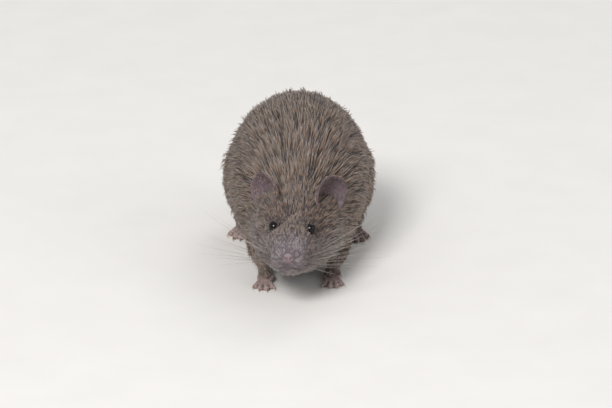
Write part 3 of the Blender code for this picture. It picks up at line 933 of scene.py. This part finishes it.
def addPatches(mesh, roots, spots):
    # the second map, OFBake: the skin rolled out round the animal's length, with a small
    # patch for every hair at its root's place
    middle = (roots.min(axis=0) + roots.max(axis=0)) / 2
    away = roots - middle
    around = np.arctan2(away[:, 0], away[:, 2]) / (2 * pi) + 0.5
    along = away[:, 1]
    along = (along - along.min()) / max(np.ptp(along), 1e-9)
    uv = np.stack([around, along], axis=1) * 0.99 + coat["patch"] + (spots - 0.5) * coat["patch"]
    corner = valuesOf(mesh.loops, "vertex_index", 1, np.int32).ravel()
    layer = mesh.uv_layers.new(name="OFBake")
    layer.data.foreach_set("uv", uv[corner].astype(np.float32).ravel())


# a tuft has three points round its root, three round its middle and one at its tip: how far along they
# lie, their places on its patch, and its triangles
tuftAlong = np.array([0, 0, 0, 0.55, 0.55, 0.55, 1.0])
tuftSpots = np.stack([[0, 0.5, 1, 0, 0.5, 1, 0.5], [0, 0, 0, 0.55, 0.55, 0.55, 1]], axis=1)
tuftFaces = [(0, 1, 4), (0, 4, 3), (3, 4, 6), (1, 2, 5), (1, 5, 4), (4, 5, 6)]
tuftFaces = np.array(tuftFaces + [(2, 0, 3), (2, 3, 5), (5, 3, 6), (2, 1, 0)])


def coatMesh(name, tufts):
    root, middle, tip = (tufts[k] for k in ("root", "middle", "tip"))
    count = len(root)
    along = unit(tip - root)
    out = flattened(tufts["normal"], along)
    side = np.cross(along, out)
    radius = tufts["width"] / 2
    spin = rng.random(count) * 2 * pi
    points = np.empty((count, 7, 3))
    for k in range(3):
        angle = spin + k * 2 * pi / 3
        ray = out * np.cos(angle)[:, None] * 0.7 + side * np.sin(angle)[:, None]
        points[:, k] = root + ray * (radius * coat["rootWidth"])[:, None]
        points[:, 3 + k] = middle + ray * radius[:, None]
    points[:, 6] = tip
    points[..., 2] = np.maximum(points[..., 2], coat["floorGap"])
    faces = tuftFaces + 7 * np.arange(count)[:, None, None]
    mesh = bpy.data.meshes.new(name)
    mesh.from_pydata(points.reshape(-1, 3), [], faces.reshape(-1, 3).tolist())
    mesh.shade_smooth()
    setValues(mesh, {name: np.repeat(tufts[name], 7) for name in (*coatMarks, "shade")})
    setValues(mesh, {"along": np.tile(tuftAlong, count)})
    addPatches(mesh, np.repeat(root, 7, axis=0), np.tile(tuftSpots, (count, 1)))
    return mesh


def makeCoat(islands):
    print("coat")
    material = makeCoatMaterial()
    groups = {"coatHead": [], "coatTrunk": [], "coatTail": [], "coatLegs": [], "coatEars": []}
    for kind, mesh, fields in islands:
        tufts = growTufts(mesh, fields)
        split = {kind: np.ones(len(tufts["root"]), bool)}
        if kind == "body":
            head, tail = tufts["head"] > 0.5, tufts["tail"] > 0.5
            split = {"coatHead": head, "coatTail": tail, "coatTrunk": ~head & ~tail}
        for name, chosen in split.items():
            chosen = np.nonzero(chosen)[0]
            chosen = chosen[np.argsort(tufts["root"][chosen, 1], kind="stable")]
            groups[name].append((tufts, chosen))
    for name, members in groups.items():
        for number, (tufts, chosen) in enumerate(members, 1):
            parts = ceil(len(chosen) / coat["mostTufts"])
            for k, share in enumerate(np.array_split(chosen, parts), 1):
                label = f"{name}{number}" + (f"_{k}" if parts > 1 else "")
                mesh = coatMesh(label, {key: value[share] for key, value in tufts.items()})
                addPiece(label, mesh, material, "coat")
                print(label, len(share), "tufts")


def hexColour(code):
    # an sRGB hex value as linear light
    parts = [int(code[i : i + 2], 16) / 255 for i in (1, 3, 5)]
    return [p / 12.92 if p <= 0.04045 else ((p + 0.055) / 1.055) ** 2.4 for p in parts] + [1.0]


def setInputs(tree, node, inputs):
    # by name or in order; another node's output is linked, anything else is set
    for key, value in inputs.items() if isinstance(inputs, dict) else enumerate(inputs):
        if isinstance(value, bpy.types.NodeSocket):
            tree.links.new(value, node.inputs[key])
        else:
            node.inputs[key].default_value = value


def addNode(tree, kind, inputs=(), output=0, **settings):
    node = tree.nodes.new("ShaderNode" + kind)
    for name, value in settings.items():
        setattr(node, name, value)
    setInputs(tree, node, inputs)
    return node.outputs[output]


def newMaterial(name, marks=()):
    # with a call that adds nodes, the named values of its points, and their place in metres
    material = bpy.data.materials.new(name)
    material.use_nodes = True
    add = partial(addNode, material.node_tree)
    values = {mark: add("Attribute", output="Fac", attribute_name=mark) for mark in marks}
    return material, add, values, add("TexCoord", output="Object")


def shaded(material, inputs):
    setInputs(material.node_tree, material.node_tree.nodes["Principled BSDF"], inputs)
    return material


def layered(add, colour, *layers):
    # others over a colour in turn, each by its share
    for share, own in layers:
        colour, own = (hexColour(c) if isinstance(c, str) else c for c in (colour, own))
        colour = add("Mix", {0: share, 6: colour, 7: own}, 2, data_type="RGBA")
    return colour


def mottled(add, colour, noise, tone):
    # darker and lighter with a noise
    tone = add("MapRange", [noise, 0.3, 0.7, *tone])
    return add("HueSaturation", {"Value": tone, "Color": colour})


coatColours = {
    "back": "#46352c",
    "flank": "#614c40",
    "belly": "#a89f98",
    "cheek": "#655855",
    "brow": "#473632",
    "muzzle": "#7e7175",
    "ear": "#6d5d5a",
    "paw": "#a39896",
    "tail": "#584840",
    "slate": "#2c272b",  # the woolly undercoat near the skin
    "dark": "#1b1414",
    "buff": "#c0a38c",
    "silver": "#b5abae",
}

coatLook = {
    "lock": 1.5 * mm,  # size of the patches that differ a little in tone
    "lockTone": (0.86, 1.14),
    "undercoat": 0.75,  # how slate a hair's root is
    "paleHairs": (0.3, 0.2, 0.0, 0.76),  # draws below these have a pale tip, this pale
    "darkHairs": (0.45, 0.7, 0.0, 0.85),
    "band": (0.35, 0.95),  # where along a hair its tip colour sets in
    "roughness": (0.5, 0.68),
}


def markingColour(add, values):
    return layered(add, coatColours["back"], *((values[mark], coatColours[mark]) for mark in coatMarks))


def makeCoatMaterial():
    # guard hair, which is keratin: slate at the root and banded to the tip, so the coat looks grizzled,
    # with a soft broad gloss from its overlapping scales
    material, add, values, place = newMaterial("guardHair", (*coatMarks, "along", "shade"))
    own = markingColour(add, values)
    dark = add("MapRange", [values["shade"], *coatLook["darkHairs"]])
    pale = add("MapRange", [values["shade"], *coatLook["paleHairs"]])
    grey = add("Math", [values["cheek"], 0.6], operation="MULTIPLY")
    grey = add("Math", [grey, values["muzzle"]], operation="MAXIMUM")
    tip = layered(add, coatColours["buff"], (grey, coatColours["silver"]))
    banded = layered(add, own, (dark, coatColours["dark"]), (pale, tip))
    quiet = add("Math", [values["paw"], values["belly"]], operation="MAXIMUM")
    quiet = add("MapRange", [quiet, 0.0, 1.0, 1.0, 0.45])  # the underside is plainer
    band = add("MapRange", [values["along"], *coatLook["band"]])
    band = add("Math", [band, quiet], operation="MULTIPLY")
    bare = add("Math", [values["paw"], values["ear"]], operation="MAXIMUM")
    bare = add("MapRange", [bare, 0.0, 1.0, 1.0, 0.2])  # no undercoat on paws and ears
    root = add("MapRange", [values["along"], 0.0, 0.5, coatLook["undercoat"], 0.0])
    root = add("Math", [root, bare], operation="MULTIPLY")
    colour = layered(add, own, (band, banded), (root, coatColours["slate"]))
    lock = add("TexNoise", {"Vector": place, "Scale": 1 / coatLook["lock"], "Detail": 2.0})
    return shaded(material, {
        "Base Color": mottled(add, colour, lock, coatLook["lockTone"]),
        "Roughness": add("MapRange", [values["shade"], 0.0, 1.0, *coatLook["roughness"]]),
        "IOR": 1.55,
        "Specular IOR Level": 0.3,
        "Sheen Weight": 0.15,
        "Sheen Roughness": 0.4,
    })


# colour of the skin where it is bare or nearly so, by its marks
skinColours = {
    "paw": "#a08680",
    "tail": "#7c6a62",
    "ear": "#65565b",
    "pad": "#77676b",
    "lid": "#1b1517",
    # painted shade in the skin's sunk folds, by how sunk they are
    "creaseShade": "#33242a",
}

skinLook = {
    "underFur": 0.55,  # how slate the skin is under the fur
    "blotch": 1.0 * mm,  # blood and pigment show in patches
    "blotchTone": (0.82, 1.15),
    "line": 0.3 * mm,  # the fine net of lines in bare skin
    "grain": 0.11 * mm,
    "tailRing": 0.5 * mm,  # scale rings of the tail
    "relief": 0.05 * mm,
    "roughness": (0.58, 0.36),  # dry skin, and the moist pad of the nose
}


def makeSkinMaterial():
    # skin: thin, matt and slightly greasy, so light goes a little way in and its edges glow;
    # dark where fur grows from it and pink where it is bare, with painted shade darkening its sunk folds
    marks = (*coatMarks, "pad", "lid", "creaseShade", "tailRun")
    material, add, values, place = newMaterial("mouseSkin", marks)
    layers = [(values[mark], colour) for mark, colour in skinColours.items()]
    layers = (skinLook["underFur"], coatColours["slate"]), *layers
    colour = layered(add, markingColour(add, values), *layers)
    blotch = add("TexNoise", {"Vector": place, "Scale": 1 / skinLook["blotch"], "Detail": 4.0})
    lines = {"Vector": place, "Scale": 1 / skinLook["line"]}
    lines = add("TexVoronoi", lines, "Distance", feature="DISTANCE_TO_EDGE")
    lines = add("MapRange", [lines, 0.0, 0.25])
    grain = add("TexNoise", {"Vector": place, "Scale": 1 / skinLook["grain"], "Detail": 3.0})
    turn = 2 * pi * mm / skinLook["tailRing"]
    rings = add("Math", [values["tailRun"], turn], operation="MULTIPLY")
    rings = add("Math", [rings], operation="SINE")
    rings = add("Math", [rings, values["tail"]], operation="MULTIPLY")
    height = add("Math", [lines, grain], operation="ADD")
    height = add("Math", [height, rings], operation="ADD")
    relief = {"Strength": 0.5, "Distance": skinLook["relief"], "Height": height}
    return shaded(material, {
        "Base Color": mottled(add, colour, blotch, skinLook["blotchTone"]),
        "Roughness": add("MapRange", [values["pad"], 0.0, 1.0, *skinLook["roughness"]]),
        "IOR": 1.4,
        "Specular IOR Level": 0.4,
        "Normal": add("Bump", relief),
        "Subsurface Weight": 0.12,
        "Subsurface Scale": 0.8 * mm,
        "Subsurface Radius": (1.0, 0.35, 0.25),
    })


eyeLook = {
    "pupil": "#040404",
    "iris": ("#0a0605", "#140c08"),
    "pupilEdge": (0.35, 0.75),  # cosine of the angle from the middle of the eye
    "fibre": 0.25 * mm,
    "roughness": (0.03, 0.06),
}


def makeEyeMaterial():
    # cornea over a near-black iris: wet and clear, so it mirrors the lights sharply
    material, add, values, place = newMaterial("wetCornea", ["iris"])
    ring = add("MapRange", [values["iris"], *eyeLook["pupilEdge"]])
    fibre = add("TexNoise", {"Vector": place, "Scale": 1 / eyeLook["fibre"], "Detail": 2.0})
    dark, brown = eyeLook["iris"]
    return shaded(material, {
        "Base Color": layered(add, eyeLook["pupil"], (ring, layered(add, dark, (fibre, brown)))),
        "Roughness": add("MapRange", [fibre, 0.3, 0.7, *eyeLook["roughness"]]),
        "IOR": 1.38,
        "Specular IOR Level": 0.45,
    })


hornLook = {
    "root": "#8a7568",
    "tip": "#c9b8a4",
    "line": (0.11 * mm, 0.83 * mm),  # width and length of the growth lines
    "lineTone": (0.85, 1.1),
    "relief": 0.02 * mm,
}


def makeHornMaterial():
    # horn: grown in layers and worn smooth, pale and slightly see-through, with fine lengthwise lines
    material, add, values, place = newMaterial("clawHorn", ["along"])
    width, length = hornLook["line"]
    stretched = add("Mapping", {"Vector": place, "Scale": (1 / width, 1 / length, 1 / width)})
    lines = add("TexNoise", {"Vector": stretched, "Scale": 1.0, "Detail": 2.0})
    colour = layered(add, hornLook["root"], (values["along"], hornLook["tip"]))
    relief = {"Strength": 0.3, "Distance": hornLook["relief"], "Height": lines}
    return shaded(material, {
        "Base Color": mottled(add, colour, lines, hornLook["lineTone"]),
        "Roughness": 0.38,
        "IOR": 1.54,
        "Normal": add("Bump", relief),
        "Subsurface Weight": 0.1,
        "Subsurface Scale": 0.4 * mm,
    })


whiskerLook = {"root": "#3a302c", "tip": "#b9afa6", "grain": 0.4 * mm, "grainTone": (0.9, 1.1)}


def makeWhiskerMaterial():
    # whisker: thick smooth keratin, so it glints; dark at the root and nearly white at the tip
    material, add, values, place = newMaterial("whiskerHair", ["along"])
    colour = layered(add, whiskerLook["root"], (values["along"], whiskerLook["tip"]))
    grain = add("TexNoise", {"Vector": place, "Scale": 1 / whiskerLook["grain"]})
    colour = mottled(add, colour, grain, whiskerLook["grainTone"])
    return shaded(material, {"Base Color": colour, "Roughness": 0.35, "IOR": 1.55})


boardLook = {"low": "#d3d0cc", "high": "#dad7d3", "mottle": 15 * mm}


def makeBoardMaterial():
    # rolled wall paint on board: matt and pale, with the faint mottling that a roller leaves
    material, add, _, place = newMaterial("paintedBoard")
    mottle = add("TexNoise", {"Vector": place, "Scale": 1 / boardLook["mottle"], "Detail": 3.0})
    colour = layered(add, boardLook["low"], (mottle, boardLook["high"]))
    return shaded(material, {"Base Color": colour, "Roughness": 0.85, "Specular IOR Level": 0.2})


def makeEyes():
    print("eyes")
    bm = bmesh.new()
    iris = []
    for side in sides:
        made = bmesh.ops.create_icosphere(bm, subdivisions=5, radius=eyeRadius)["verts"]
        iris += [float(np.dot(unit(np.array(v.co)), lookingOut(side))) for v in made]
        bmesh.ops.translate(bm, vec=Vector(eyes[side]), verts=made)
    mesh = meshFrom(bm, "eyes")
    mesh.shade_smooth()
    setValues(mesh, {"iris": iris})
    addPiece("eyes", mesh, makeEyeMaterial(), "eye", "eye_left", "eye_right")


def taperedRod(bm, course, radii, corners, flatten=1.0):
    # rings along a course that end in a point; returns how far along each vertex lies
    course = np.array(course)
    along = unit(np.gradient(course, axis=0))
    across = unit(np.cross(along, [0, 0, 1]))
    upward = np.cross(across, along)
    rings = []
    for place, radius, x, z in zip(course[:-1], radii, across, upward):
        turns = [2 * pi * k / corners for k in range(corners)]
        rays = [x * cos(turn) * flatten + z * sin(turn) for turn in turns]
        rings.append([bm.verts.new(place + ray * radius) for ray in rays])
    tip = bm.verts.new(course[-1])
    for first, second in zip(rings, rings[1:] + [None]):
        for k in range(corners):
            n = (k + 1) % corners
            far = (second[n], second[k]) if second else (tip,)
            bm.faces.new((first[k], first[n], *far))
    bm.faces.new(rings[0][::-1])
    return [i / len(rings) for i in range(len(rings)) for _ in range(corners)] + [1.0]


def rodMesh(name, bm, along):
    bmesh.ops.recalc_face_normals(bm, faces=bm.faces)
    mesh = meshFrom(bm, name)
    mesh.shade_smooth()
    setValues(mesh, {"along": along})
    return mesh


clawForm = {
    "rings": 9,
    "sides": 10,
    "height": 0.3 * mm,
    "width": 0.2 * mm,
    "arch": 0.16 * mm,
    "rootSink": 0.3 * mm,
}


def makeClaws():
    print("claws")
    bm = bmesh.new()
    along = []
    nodes = [n for n in nodesNamed("forepaw", "hindpaw") if "claw" in n]
    for node in nodes:
        points = pointsOf(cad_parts[node].data)
        order = np.argsort(points[:, 1])
        tip, root = points[order[0]], points[order[-6:]].mean(axis=0)
        start = root - unit(tip - root) * clawForm["rootSink"]
        course, radii = [], []
        for s in np.linspace(0, 1, clawForm["rings"] + 1):
            arch = clawForm["arch"] * sin(pi * s)
            course.append(mixed(start, tip, s) + np.array([0, 0, arch]))
            radii.append(clawForm["height"] * (1 - 0.85 * s**1.4))
        along += taperedRod(bm, course, radii, clawForm["sides"], clawForm["width"] / clawForm["height"])
    addPiece("claws", rodMesh("claws", bm, along), makeHornMaterial(), "claw", *nodes)


whiskers = {
    "rows": ((-0.2, 5), (-1.1, 6), (-2.0, 6), (-2.8, 5)),  # height beside the nose in mm, hairs in the row
    "behindNose": (1.6, 4.6),  # where a row starts and ends, in mm
    "lengths": (8.0 * mm, 22.0 * mm),  # the rearmost are the longest
    "sweep": (0.2, 0.5, 0.15),  # how far back the foremost point, the rearmost more, and by chance
    "rise": (0.45, -0.22, 0.1),  # how far up the top row points, each next row more, and by chance
    "droop": (0.35, 0.04, 0.05),  # how far the tips bend back and down, and by chance
    "rootSink": 0.2 * mm,
    "radius": 0.055 * mm,
    "rings": 12,
    "sides": 5,
}


def makeWhiskers(body):
    print("whiskers")
    tree = BVHTree.FromPolygons(pointsOf(body).tolist(), trianglesOf(body).tolist())
    bm = bmesh.new()
    along, roots, places = [], [], []
    for row, (height, count) in enumerate(whiskers["rows"]):
        places += [(row, height, k / (count - 1)) for k in range(count)]
    for sign in sides.values():
        for row, height, s in places:
            behind = mixed(*whiskers["behindNose"], s)
            aim = nose - headForward * behind * mm + headUp * height * mm + headSide * sign * 6 * mm
            root = np.array(tree.find_nearest(Vector(aim))[0])
            length = mixed(*whiskers["lengths"], s**0.8) * (0.85 + 0.3 * rng.random())
            first, more, chance = whiskers["sweep"]
            out = headSide * sign - headForward * (first + more * s + chance * rng.normal())
            first, more, chance = whiskers["rise"]
            out = unit(out + headUp * (first + more * row + chance * rng.normal()))
            backwards, down, chance = whiskers["droop"]
            droop = -headForward * backwards - headUp * (down + chance * rng.normal())
            steps = np.linspace(0, 1, whiskers["rings"])
            start = root - out * whiskers["rootSink"]
            course = [start + (out * t + droop * t**2 * 0.8) * length for t in steps]
            radii = whiskers["radius"] * (1 - 0.8 * steps)
            made = taperedRod(bm, course, radii, whiskers["sides"])
            along += made
            roots += [root] * len(made)
    mesh = rodMesh("whiskers", bm, along)
    around = np.arange(len(along)) % whiskers["sides"] / whiskers["sides"]
    addPatches(mesh, np.array(roots), np.stack([around, along], axis=1))
    addPiece("whiskers", mesh, makeWhiskerMaterial(), "coat")


studio = {
    "lamps": {  # place, size, power
        "key": ((-0.5, -1.2, 1.1), 0.56, 29.0),
        "fill": ((1.5, -0.8, 0.9), 1.2, 5.0),
        "rim": ((0.5, 1.5, 1.3), 1.0, 9.0),
    },
    "sky": ("#f1f3f6", 0.55),  # colour, strength
    "floor": 3.0,  # metres from the middle to its edge
}


def makeStudio():
    print("floor and lights")
    bm = bmesh.new()
    bmesh.ops.create_grid(bm, x_segments=4, y_segments=4, size=studio["floor"])
    newObject("floor", meshFrom(bm, "floor"), makeBoardMaterial())
    for name, (place, size, power) in studio["lamps"].items():
        data = bpy.data.lights.new(name, "AREA")
        data.size = size
        data.energy = power
        turnTo(newObject(name, data), place, -Vector(place))
    world = bpy.data.worlds.new("studio")
    world.use_nodes = True
    colour, strength = studio["sky"]
    background = world.node_tree.nodes["Background"]
    setInputs(world.node_tree, background, {"Color": hexColour(colour), "Strength": strength})
    bpy.context.scene.world = world
    bpy.context.scene.view_settings.view_transform = "Standard"


makeCamera()
makeStudio()
islands = makeSkin()
makeCoat(islands)
makeEyes()
makeClaws()
makeWhiskers(islands[0][1])
